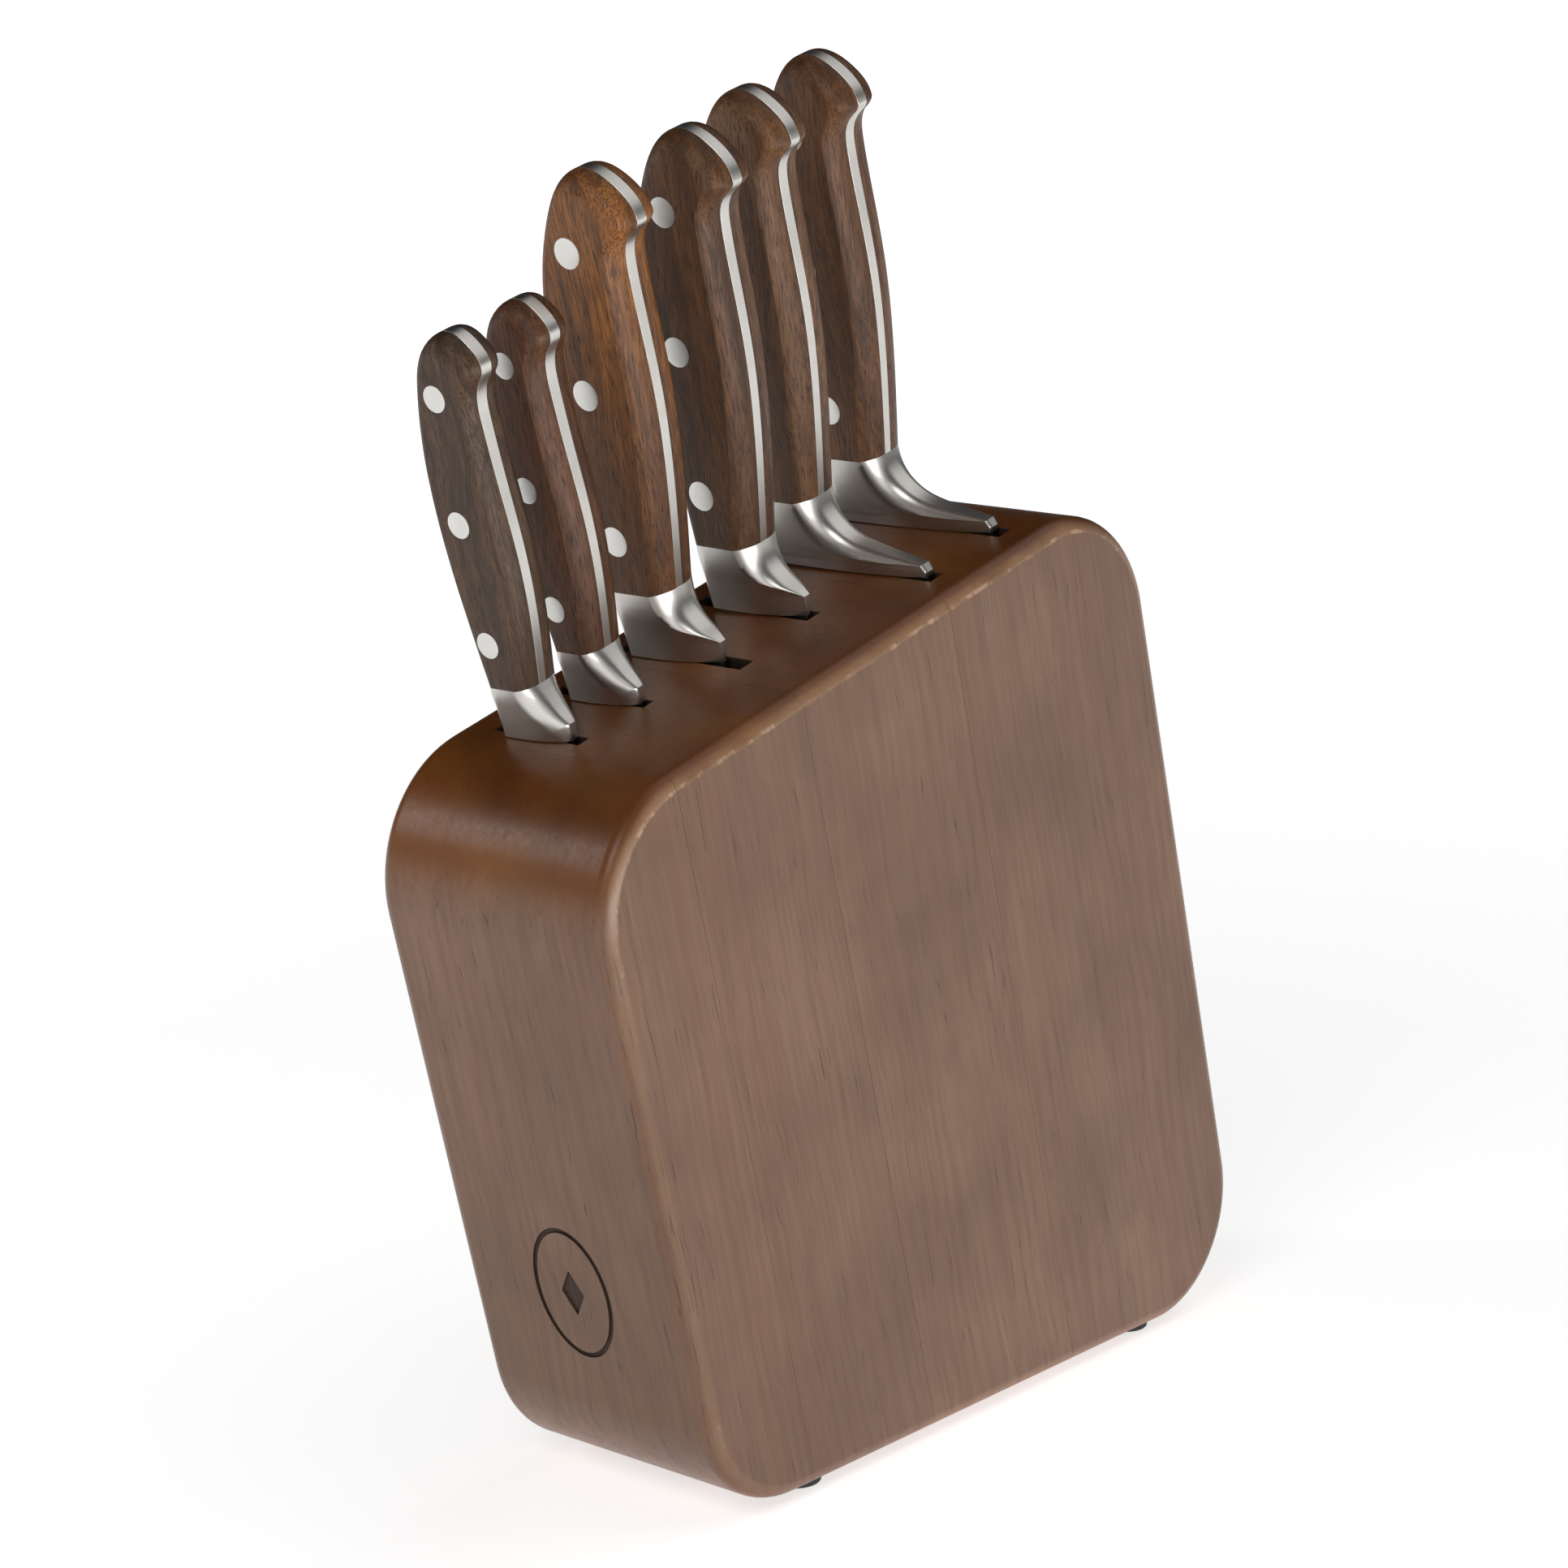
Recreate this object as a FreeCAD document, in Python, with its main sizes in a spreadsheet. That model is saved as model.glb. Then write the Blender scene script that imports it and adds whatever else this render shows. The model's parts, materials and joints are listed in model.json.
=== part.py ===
# A slanted wooden knife block with six forged knives.
#
# Row frame: X runs across the block, Y from its front to its back and Z up. The origin
# is on the floor, under the middle of the bounding box.
#
# Everything but the feet is drawn in the slot frame and leans with it. The slot frame
# starts at the block's sharp top front corner: y runs along the top face to the back,
# z runs up along the slots and x is the row's X. A knife's edge faces +X.
import FreeCAD, Part
import math
import os
import Sketcher
from FreeCAD import Vector

doc = FreeCAD.newDocument("knife_block")
sheet = doc.addObject("Spreadsheet::Sheet", "Dims")

DIMENSIONS = {
    # block, in the slot frame
    "blockWidth": 80, "blockDepth": 237.5, "frontLength": 204.7, "leanAngle": 15.34,
    "topFrontRadius": 36, "topBackRadius": 38, "bottomBackRadius": 34, "bottomFrontRadius": 37.5,
    "edgeRound": 4.8,
    # row frame: where the sharp front bottom corner lies
    "frontEdgeY": -93.84,
    # glue joints between the three laminated pairs of slots
    "glueJoint1": 35, "glueJoint2": 86, "glueJoint3": 150,
    # slots: centre along the top face, width of the gap, left and right ends, depth
    "slot1Centre": 43.7, "slot1Gap": 4.0, "slot1Left": -27.8, "slot1Right": 1.6, "slot1Depth": 98,
    "slot2Centre": 67.7, "slot2Gap": 4.0, "slot2Left": -28.4, "slot2Right": 3.2, "slot2Depth": 138,
    "slot3Centre": 96.2, "slot3Gap": 5.5, "slot3Left": -29.4, "slot3Right": 13.4, "slot3Depth": 210,
    "slot4Centre": 128.2, "slot4Gap": 5.5, "slot4Left": -29.4, "slot4Right": 10.8, "slot4Depth": 213,
    "slot5Centre": 160.3, "slot5Gap": 5.5, "slot5Left": -29.4, "slot5Right": 28.6, "slot5Depth": 190,
    "slot6Centre": 192.4, "slot6Gap": 5.5, "slot6Left": -29.4, "slot6Right": 28.6, "slot6Depth": 213,
    # rubber feet
    "footHeight": 2.5, "footRadius": 7.5, "footX": 28, "frontFootY": 41, "rearFootY": 197,
    # knives
    "tangThickness": 2.4, "seatGap": 0.3, "scaleRound": 2.8, "beakRound": 3.2, "edgeHalf": 0.25,
    "smallHalf": 7.6, "smallNeck": 15.5, "smallRivet": 3.65,
    "largeHalf": 8.8, "largeNeck": 20.5, "largeRivet": 4.25,
}

# Outlines of the two handle patterns: (x, z) from the neck up the spine and over the
# butt to the beak, and from the beak down the belly to the neck.
HANDLES = {
    "small": {
        "spine": [(-22.7, 15.5), (-28.3, 62), (-25.6, 96.5), (-18, 110), (-8.1, 106.2), (-3.4, 99.8)],
        "belly": [(-3.4, 99.8), (-7.6, 94), (-7.2, 78), (-5.6, 56), (-8.4, 15.5)],
        "rivets": [(-17.6, 27.7), (-18.6, 60.8), (-17.4, 94.8)],
    },
    "large": {
        "spine": [(-24.8, 20.5), (-28.4, 68), (-27.3, 104), (-21.8, 122), (-9.7, 136), (1.1, 130.8),
                  (7.4, 121.5)],
        "belly": [(7.4, 121.5), (1.6, 116), (0.9, 104), (1.4, 78), (-1.5, 45), (-5, 20.5)],
        "rivets": [(-16.7, 35.4), (-16.5, 76.4), (-13, 115.2)],
    },
}

# Each knife: its slot, handle pattern, shift of the handle in x, tilt in the slot about
# its heel (degrees), blade length, x of the spine and heel where the blade leaves the
# bolster, height and half thickness of the bolster's heel, and how far the tip lies from
# the edge, as a share of the blade's width.
KNIVES = {
    "paring": {"slot": 1, "handle": "small", "shift": 0, "tilt": 0, "length": 90,
               "spine": -22.5, "heel": -1.1, "toeHeight": 5.8, "toeHalf": 2.6, "tip": 0.75},
    "utility": {"slot": 2, "handle": "small", "shift": 1.6, "tilt": 0, "length": 130,
                "spine": -21.5, "heel": 1.6, "toeHeight": 5.8, "toeHalf": 2.6, "tip": 0.75},
    "carving": {"slot": 3, "handle": "large", "shift": 0, "tilt": 0, "length": 203,
                "spine": -24.4, "heel": 6.4, "toeHeight": 6.1, "toeHalf": 3.0, "tip": 0.8},
    "bread": {"slot": 4, "handle": "large", "shift": 2.7, "tilt": 1.2, "length": 203,
              "spine": -21.4, "heel": 9.6, "toeHeight": 5.6, "toeHalf": 3.0, "tip": 0.6},
    "santoku": {"slot": 5, "handle": "large", "shift": -2.4, "tilt": 0.6, "length": 180,
                "spine": -26.4, "heel": 26.6, "toeHeight": 4.2, "toeHalf": 4.4, "tip": 0.25},
    "chef": {"slot": 6, "handle": "large", "shift": -3.5, "tilt": 0, "length": 203,
             "spine": -27.4, "heel": 25.2, "toeHeight": 4.2, "toeHalf": 4.4, "tip": 0.7},
}
for knife, data in KNIVES.items():
    for key in ("shift", "tilt", "length", "spine", "heel", "toeHeight", "toeHalf"):
        DIMENSIONS[knife + key[0].upper() + key[1:]] = data[key]

for row, (alias, value) in enumerate(DIMENSIONS.items(), start=1):
    sheet.set("A%d" % row, alias)
    sheet.set("B%d" % row, str(value))
    sheet.setAlias("B%d" % row, alias)
doc.recompute()

subParts = []


def size(alias):
    return float(sheet.get(alias))


def keep(obj, label):
    """Name a finished sub-part."""
    obj.Label = label
    subParts.append(obj)
    return obj


def lean(obj, along="0", knife=None):
    """Stand a sub-part drawn in the slot frame in its place, moved along the top face."""
    y = "Dims.frontEdgeY - Dims.frontLength * sin(Dims.leanAngle) + (%s) * cos(Dims.leanAngle)" % along
    z = "Dims.footHeight + Dims.frontLength * cos(Dims.leanAngle) + (%s) * sin(Dims.leanAngle)" % along
    place = "placement(vector(0; %s; %s); rotation(vector(1; 0; 0); Dims.leanAngle))" % (y, z)
    if knife:
        heel = "vector(Dims.%sHeel; 0; Dims.seatGap)" % knife
        place += " * placement(vector(0; 0; 0); rotation(vector(0; 1; 0); Dims.%sTilt); %s)" % (knife, heel)
    obj.setExpression("Placement", place)


def plane(body, role):
    return next(f for f in body.Origin.OriginFeatures if f.Role == role)


def newSketch(body, name, role, offset=None):
    """A sketch on one of the body's own planes, moved along the plane's normal."""
    sketch = body.newObject("Sketcher::SketchObject", name)
    sketch.AttachmentSupport = (plane(body, role), [""])
    sketch.MapMode = "FlatFace"
    if offset:
        sketch.setExpression("AttachmentOffset.Base.z", offset)
    return sketch


def polygon(sketch, points):
    """A closed polygon with every corner pinned by two expressions."""
    corners = [Vector(*(float(sheet.evalExpression(text)) for text in point), 0) for point in points]
    ends = corners[1:] + corners[:1]
    sides = [sketch.addGeometry(Part.LineSegment(start, end), False) for start, end in zip(corners, ends)]
    for line, following in zip(sides, sides[1:] + sides[:1]):
        sketch.addConstraint(Sketcher.Constraint("Coincident", line, 2, following, 1))
    for line, corner, (x, y) in zip(sides, corners, points):
        for kind, text, number in (("DistanceX", x, corner.x), ("DistanceY", y, corner.y)):
            index = sketch.addConstraint(Sketcher.Constraint(kind, line, 1, number))
            sketch.setExpression("Constraints[%d]" % index, text)


def spline(points):
    curve = Part.BSplineCurve()
    curve.interpolate([Vector(x, y, 0) for x, y in points])
    return curve


def edgesWhere(feature, test):
    return ["Edge%d" % (i + 1) for i, edge in enumerate(feature.Shape.Edges) if test(edge)]


def middle(edge):
    return edge.valueAt((edge.FirstParameter + edge.LastParameter) / 2)


# ---- block: the glued-up blank, shaped as one, is then shared out to its pieces ----
bottom = "-Dims.frontLength - Dims.blockDepth * tan(Dims.leanAngle)"
blank = doc.addObject("PartDesign::Body", "Blank")
side = newSketch(blank, "BlankSide", "YZ_Plane")
polygon(side, [("0", "0"), ("Dims.blockDepth", "0"), ("Dims.blockDepth", bottom),
               ("0", "-Dims.frontLength")])
pad = blank.newObject("PartDesign::Pad", "BlankPad")
pad.Profile = side
pad.SideType = "Symmetric"
pad.setExpression("Length", "Dims.blockWidth")
doc.recompute()



def isCorner(edge, y, atTop):
    """An edge across the blank's whole width, at its front or back and its top or bottom."""
    spot = middle(edge)
    across = abs(spot.x) < 1 and edge.Length > size("blockWidth") - 1
    return across and abs(spot.y - y) < 0.1 and (spot.z > -1) == atTop


def isOnSide(edge):
    return abs(abs(middle(edge).x) - size("blockWidth") / 2) < 0.01


rounded = pad
back = size("blockDepth")
for name, y, atTop in (("topFront", 0, True), ("topBack", back, True),
                       ("bottomBack", back, False), ("bottomFront", 0, False)):
    corner = blank.newObject("PartDesign::Fillet", name + "Round")
    corner.Base = (rounded, edgesWhere(rounded, lambda edge: isCorner(edge, y, atTop)))
    corner.setExpression("Radius", "Dims.%sRadius" % name)
    doc.recompute()
    rounded = corner

rim = blank.newObject("PartDesign::Fillet", "RimRound")
rim.Base = (rounded, edgesWhere(rounded, isOnSide))
rim.setExpression("Radius", "Dims.edgeRound")
doc.recompute()

MARGIN = 10      # how far the cutting boxes reach past the blank
REACH = "(Dims.frontLength + Dims.blockDepth)"


def share(name, x0, x1, y0, y1, z0, z1):
    """The part of the blank inside a box, whose sides are expressions."""
    box = doc.addObject("Part::Box", name + "Box")
    for prop, low, high in (("Length", x0, x1), ("Width", y0, y1), ("Height", z0, z1)):
        box.setExpression(prop, "(%s) - (%s)" % (high, low))
    for axis, low in (("x", x0), ("y", y0), ("z", z0)):
        box.setExpression("Placement.Base." + axis, low)
    common = doc.addObject("Part::Common", name)
    common.Base = blank
    common.Tool = box
    return common


LEFT_OUT = "-Dims.blockWidth / 2 - %d" % MARGIN
RIGHT_OUT = "Dims.blockWidth / 2 + %d" % MARGIN


def slotWall(number, sign):
    return "Dims.slot%dCentre %s Dims.slot%dGap / 2" % (number, sign, number)


# Planks fill the depth between the glue joints and the slots, from the front to the back.
# Each plank runs from one of these sides to the next.
plankSides = ["-%d" % MARGIN]
for pair in range(3):
    joint = "Dims.glueJoint%d" % (pair + 1)
    plankSides += [joint, joint]
    for number in (2 * pair + 1, 2 * pair + 2):
        plankSides += [slotWall(number, "-"), slotWall(number, "+")]
plankSides.append("Dims.blockDepth + %d" % MARGIN)
plankCount = len(plankSides) // 2
for i in range(plankCount):
    name = {0: "front_plank", plankCount - 1: "back_plank"}.get(i, "inner_plank_%d" % i)
    front, rear = plankSides[2 * i:2 * i + 2]
    plank = share(name, LEFT_OUT, RIGHT_OUT, front, rear, "-" + REACH, str(MARGIN))
    lean(plank)
    keep(plank, name)

# Each slot is the space that three spacer strips leave between two planks.
for number in range(1, 7):
    left, right, depth = ("Dims.slot%d%s" % (number, key) for key in ("Left", "Right", "Depth"))
    walls = (slotWall(number, "-"), slotWall(number, "+"))
    strips = [share("LeftStrip%d" % number, LEFT_OUT, left, *walls, "-" + REACH, str(MARGIN)),
              share("RightStrip%d" % number, right, RIGHT_OUT, *walls, "-" + REACH, str(MARGIN)),
              share("FloorStrip%d" % number, left, right, *walls, "-" + REACH, "-" + depth)]
    spacers = doc.addObject("Part::Compound", "Spacers%d" % number)
    spacers.Links = strips
    lean(spacers)
    keep(spacers, "slot_%d_spacers" % number)

# ---- rubber feet ----
feet = (("front_left_foot", "-", "frontFootY"), ("front_right_foot", "", "frontFootY"),
        ("rear_left_foot", "-", "rearFootY"), ("rear_right_foot", "", "rearFootY"))
for name, sideSign, along in feet:
    foot = doc.addObject("Part::Cylinder", name)
    foot.setExpression("Radius", "Dims.footRadius")
    foot.setExpression("Height", "Dims.footHeight")
    foot.setExpression("Placement.Base.x", sideSign + "Dims.footX")
    foot.setExpression("Placement.Base.y", "Dims.frontEdgeY + Dims." + along)
    keep(foot, name)


# ---- knives ----
def shifted(points, shift):
    return [(x + shift, z) for x, z in points]


def bladeOutline(data):
    """The edge from heel to tip and the spine back up, below the bolster."""
    heel, back, length = data["heel"], data["spine"], data["length"]
    width = heel - back
    tip = (heel - data["tip"] * width, -length)
    edge = [(heel - 0.6, 0), (heel - 0.02 * width, -0.4 * length),
            (heel - (0.06 + 0.14 * data["tip"]) * width, -0.75 * length), tip]
    spineEnd = (back + 0.3, -0.45 * length)
    spineCurve = [tip, (back + (1 - data["tip"]) * 0.35 * width, -0.86 * length), spineEnd]
    return edge, spineCurve


def makeBlade(knife, data):
    """Blade, bolster and full tang, forged in one piece."""
    handle = HANDLES[data["handle"]]
    spine = shifted(handle["spine"], data["shift"])
    belly = shifted(handle["belly"], data["shift"])
    neck = size(data["handle"] + "Neck")
    body = doc.addObject("PartDesign::Body", knife + "BladeBody")
    plate = newSketch(body, knife + "Plate", "XZ_Plane")
    edge, spineCurve = bladeOutline(data)
    heelTop = (edge[0][0], data["toeHeight"] - 1)
    plate.addGeometry(spline(spine), False)
    plate.addGeometry(spline(belly), False)
    neckCurve = spline([belly[-1], ((belly[-1][0] + heelTop[0]) / 2 - 2, neck * 0.5), heelTop])
    plate.addGeometry(neckCurve, False)
    plate.addGeometry(Part.LineSegment(Vector(*heelTop, 0), Vector(*edge[0], 0)), False)
    plate.addGeometry(spline(edge), False)
    plate.addGeometry(spline(spineCurve), False)
    corners = [spineCurve[-1], (data["spine"], 0), spine[0]]
    for start, end in zip(corners, corners[1:]):
        plate.addGeometry(Part.LineSegment(Vector(*start, 0), Vector(*end, 0)), False)
    for x, z in shifted(handle["rivets"], data["shift"]):
        circle = plate.addGeometry(Part.Circle(Vector(x, z, 0), Vector(0, 0, 1), 1), False)
        index = plate.addConstraint(Sketcher.Constraint("Radius", circle, size(data["handle"] + "Rivet")))
        plate.setExpression("Constraints[%d]" % index, "Dims.%sRivet" % data["handle"])
    tang = body.newObject("PartDesign::Pad", knife + "Tang")
    tang.Profile = plate
    tang.SideType = "Symmetric"
    tang.setExpression("Length", "Dims.tangThickness")
    doc.recompute()

    # below the bolster both faces are ground down towards the edge
    grind = newSketch(body, knife + "Grind", "XY_Plane")
    back, heel, full = "Dims.%sSpine" % knife, "Dims.%sHeel" % knife, "Dims.tangThickness / 2"
    for sign in ("", "-"):
        polygon(grind, [(back + " + 4", "%s(%s)" % (sign, full)), (heel + " + 5", "%s(%s)" % (sign, full)),
                        (heel + " + 5", sign + "Dims.edgeHalf")])
    ground = body.newObject("PartDesign::Pocket", knife + "Ground")
    ground.Profile = grind
    ground.setExpression("Length", "Dims.%sLength + 5" % knife)
    doc.recompute()
    if ground.Shape.Volume > tang.Shape.Volume - 10:
        raise RuntimeError("the grind of the %s knife cuts nothing" % knife)

    # the bolster swells from the block's top face to the section of the handle
    half = "Dims.%sHalf" % data["handle"]
    toe = "Dims.%sToeHalf" % knife
    neckSpine, neckBelly = spine[0][0], belly[-1][0]
    levels = [
        ("Dims.seatGap", back, "4.4", heel + " - 3", toe, heel, full),
        ("Dims.%sToeHeight" % knife, back, "4.9", "(%s + %s) / 2" % (heel, neckBelly), toe + " + 1.2",
         heel + " - 1", full),
        ("Dims.%sNeck" % data["handle"], str(neckSpine), half + " - 2",
         str((neckSpine + neckBelly) / 2 + 5.5), half, str(neckBelly), full + " + 1"),
    ]
    sections = []
    for i, (z, spineX, spineHalf, ridgeX, ridgeHalf, bellyX, bellyHalf) in enumerate(levels):
        section = newSketch(body, "%sBolster%d" % (knife, i), "XY_Plane", z)
        upper = [(spineX, spineHalf), (ridgeX, ridgeHalf), (bellyX, bellyHalf)]
        polygon(section, upper + [(x, "-(%s)" % y) for x, y in reversed(upper)])
        sections.append(section)
    bolster = body.newObject("PartDesign::AdditiveLoft", knife + "Bolster")
    bolster.Profile = sections[0]
    bolster.Sections = sections[1:]
    bolster.Ruled = True
    doc.recompute()
    return body


def makeScale(knife, data, side):
    """One wooden scale, riveted to the tang's front or rear face."""
    handle = HANDLES[data["handle"]]
    body = doc.addObject("PartDesign::Body", knife + side + "ScaleBody")
    offset = "Dims.tangThickness / 2" if side == "Front" else "-Dims.tangThickness / 2"
    outline = newSketch(body, knife + side + "Outline", "XZ_Plane", offset)
    spine = shifted(handle["spine"], data["shift"])
    belly = shifted(handle["belly"], data["shift"])
    outline.addGeometry(spline(spine), False)
    outline.addGeometry(spline(belly), False)
    outline.addGeometry(Part.LineSegment(Vector(*belly[-1], 0), Vector(*spine[0], 0)), False)
    for x, z in shifted(handle["rivets"], data["shift"]):
        circle = outline.addGeometry(Part.Circle(Vector(x, z, 0), Vector(0, 0, 1), 1), False)
        index = outline.addConstraint(Sketcher.Constraint("Radius", circle, size(data["handle"] + "Rivet")))
        outline.setExpression("Constraints[%d]" % index, "Dims.%sRivet" % data["handle"])
    slab = body.newObject("PartDesign::Pad", knife + side + "Slab")
    slab.Profile = outline
    slab.Reversed = side == "Rear"
    slab.setExpression("Length", "Dims.%sHalf - Dims.tangThickness / 2" % data["handle"])
    doc.recompute()
    face = size(data["handle"] + "Half") * (-1 if side == "Front" else 1)
    neck = size(data["handle"] + "Neck")
    rivet = size(data["handle"] + "Rivet")
    shortest = 2 * size("beakRound")

    def atBeak(edge):
        spot = middle(edge)
        return math.hypot(spot.x - belly[0][0], spot.z - belly[0][1]) < 0.05

    def isHole(edge):
        return edge.Curve.TypeId == "Part::GeomCircle" and abs(edge.Curve.Radius - rivet) < 0.01

    def isOuter(edge):
        spot = middle(edge)
        onFace = abs(spot.y - face) < 0.01
        return onFace and edge.Length > shortest and not isHole(edge) and spot.z > neck + 0.5

    beakRound = body.newObject("PartDesign::Fillet", knife + side + "Beak")
    beakRound.Base = (slab, edgesWhere(slab, atBeak))
    beakRound.setExpression("Radius", "Dims.beakRound")
    doc.recompute()
    soft = body.newObject("PartDesign::Fillet", knife + side + "Soft")
    soft.Base = (beakRound, edgesWhere(beakRound, isOuter))
    soft.setExpression("Radius", "Dims.scaleRound")
    doc.recompute()
    return body


def makeRivets(knife, data):
    """Three rivets, flush with both scales."""
    half = "Dims.%sHalf" % data["handle"]
    pins = []
    for i, (x, z) in enumerate(shifted(HANDLES[data["handle"]]["rivets"], data["shift"])):
        pin = doc.addObject("Part::Cylinder", "%sRivet%d" % (knife, i))
        pin.setExpression("Radius", "Dims.%sRivet" % data["handle"])
        pin.setExpression("Height", "2 * (%s)" % half)
        spot = "vector(%s; -(%s); %s)" % (x, half, z)
        pin.setExpression("Placement", "placement(%s; rotation(vector(1; 0; 0); -90))" % spot)
        pins.append(pin)
    group = doc.addObject("Part::Compound", knife + "Rivets")
    group.Links = pins
    return group


for knife, data in KNIVES.items():
    pieces = {"blade": makeBlade(knife, data), "front_scale": makeScale(knife, data, "Front"),
              "rear_scale": makeScale(knife, data, "Rear"), "rivets": makeRivets(knife, data)}
    for piece, obj in pieces.items():
        lean(obj, "Dims.slot%dCentre" % data["slot"], knife)
        keep(obj, "%s_%s" % (knife, piece))

# ---- check every object, then write each sub-part ----
doc.recompute()
for obj in doc.Objects:
    if "Invalid" in obj.State or "Error" in obj.State:
        raise RuntimeError("%s failed: %s" % (obj.Name, obj.State))
os.makedirs("parts", exist_ok=True)
for obj in subParts:
    if obj.Shape.isNull() or not obj.Shape.isValid():
        raise RuntimeError(obj.Label + " has no valid shape")
    obj.Shape.exportStep(os.path.join("parts", obj.Label + ".step"))

box = FreeCAD.BoundBox()
for obj in subParts:
    box.add(obj.Shape.BoundBox)
print("%d sub-parts, box %s" % (len(subParts), box))
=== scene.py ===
import json
import math
import bmesh
import bpy
import numpy as np
from mathutils import Matrix, Vector
from mathutils.geometry import delaunay_2d_cdt


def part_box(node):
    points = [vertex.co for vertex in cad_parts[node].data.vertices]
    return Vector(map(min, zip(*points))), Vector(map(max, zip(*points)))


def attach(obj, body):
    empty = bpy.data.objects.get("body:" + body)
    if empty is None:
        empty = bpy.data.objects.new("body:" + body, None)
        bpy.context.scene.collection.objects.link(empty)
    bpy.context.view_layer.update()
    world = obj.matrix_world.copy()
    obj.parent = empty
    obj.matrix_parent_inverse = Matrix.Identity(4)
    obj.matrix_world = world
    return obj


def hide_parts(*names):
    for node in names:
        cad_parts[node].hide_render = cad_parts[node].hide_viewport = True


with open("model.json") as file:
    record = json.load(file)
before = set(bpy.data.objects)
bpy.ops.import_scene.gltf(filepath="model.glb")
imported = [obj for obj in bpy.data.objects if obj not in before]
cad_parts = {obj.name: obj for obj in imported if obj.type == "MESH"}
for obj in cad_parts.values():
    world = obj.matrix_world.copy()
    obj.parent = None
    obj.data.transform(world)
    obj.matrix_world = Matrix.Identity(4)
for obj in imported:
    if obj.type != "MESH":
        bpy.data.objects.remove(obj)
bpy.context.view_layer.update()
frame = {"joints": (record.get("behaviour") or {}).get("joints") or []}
scene = bpy.context.scene
mm = 0.001

# the slots lean forward, so the wood and the knives are drawn in the slots' own frame:
# x across the block, y back along its top face, z up along the slots, in millimetres
drawAxis = Vector(frame["joints"][0]["axis"])
lean = math.atan2(-drawAxis.y, drawAxis.z)
board = {"node": "inner_plank_1", "front": 35, "back": 41.7}
boardLow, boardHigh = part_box(board["node"])
topFrame = (Matrix.Translation((0, boardLow.y - board["front"] * mm * math.cos(lean),
                                boardHigh.z - board["back"] * mm * math.sin(lean)))
            @ Matrix.Rotation(lean, 4, "X"))
print("frame: slots lean", round(math.degrees(lean), 2), "degrees")


def smoothLine(points, step):
    # a natural cubic spline through the points, sampled about every step
    pts = np.array(points, float)
    gaps = np.linalg.norm(np.diff(pts, axis=0), axis=1)
    knots = np.concatenate([[0], np.cumsum(gaps)])
    count = len(pts)
    system = np.eye(count)
    pull = np.zeros_like(pts)
    for i in range(1, count - 1):
        system[i, i - 1:i + 2] = gaps[i - 1], 2 * (gaps[i - 1] + gaps[i]), gaps[i]
        pull[i] = 6 * ((pts[i + 1] - pts[i]) / gaps[i] - (pts[i] - pts[i - 1]) / gaps[i - 1])
    bend = np.linalg.solve(system, pull)
    along = np.linspace(0, knots[-1], max(2, round(knots[-1] / step) + 1))
    place = np.clip(np.searchsorted(knots, along, side="right") - 1, 0, count - 2)
    gap = gaps[place][:, None]
    a = (knots[place + 1] - along)[:, None] / gap
    b = 1 - a
    return (a * pts[place] + b * pts[place + 1]
            + ((a ** 3 - a) * bend[place] + (b ** 3 - b) * bend[place + 1]) * gap ** 2 / 6)


def meshFrom(name, verts, faces):
    mesh = bpy.data.meshes.new(name)
    mesh.from_pydata([tuple(v) for v in verts], [], faces)
    bm = bmesh.new()
    bm.from_mesh(mesh)
    bmesh.ops.remove_doubles(bm, verts=bm.verts, dist=0.0005)
    bmesh.ops.recalc_face_normals(bm, faces=bm.faces)
    # the guess goes wrong on shapes as thin as a blade
    if bm.calc_volume(signed=True) < 0:
        bmesh.ops.reverse_faces(bm, faces=bm.faces)
    bm.to_mesh(mesh)
    bm.free()
    return mesh


def gridFaces(rows, columns, closed=False, start=0):
    # quads between neighbouring rows of points
    faces = []
    for r in range(rows - 1):
        for c in range(columns if closed else columns - 1):
            d = (c + 1) % columns
            low, high = start + r * columns, start + (r + 1) * columns
            faces.append((low + c, low + d, high + d, high + c))
    return faces


def joinMeshes(name, meshes):
    bm = bmesh.new()
    for part in meshes:
        bm.from_mesh(part)
    joined = bpy.data.meshes.new(name)
    bm.to_mesh(joined)
    bm.free()
    return joined


def carve(mesh, cutters, wood, shadedCutWood):
    # cut each cutter out of the mesh in turn; the walls it leaves get the cut wood, painted dark as shade
    # inside the cuts
    mesh.materials.append(wood)
    target = bpy.data.objects.new("carving", mesh)
    scene.collection.objects.link(target)
    tools = []
    for cutter in cutters:
        cutter.materials.append(shadedCutWood)
        tool = bpy.data.objects.new("cutter", cutter)
        scene.collection.objects.link(tool)
        modifier = target.modifiers.new("cut", "BOOLEAN")
        modifier.object = tool
        modifier.operation = "DIFFERENCE"
        modifier.solver = "EXACT"
        modifier.material_mode = "TRANSFER"
        tools.append(tool)
    bpy.context.view_layer.update()
    result = bpy.data.meshes.new_from_object(target.evaluated_get(bpy.context.evaluated_depsgraph_get()))
    for helper in tools + [target]:
        bpy.data.objects.remove(helper)
    return result


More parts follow.
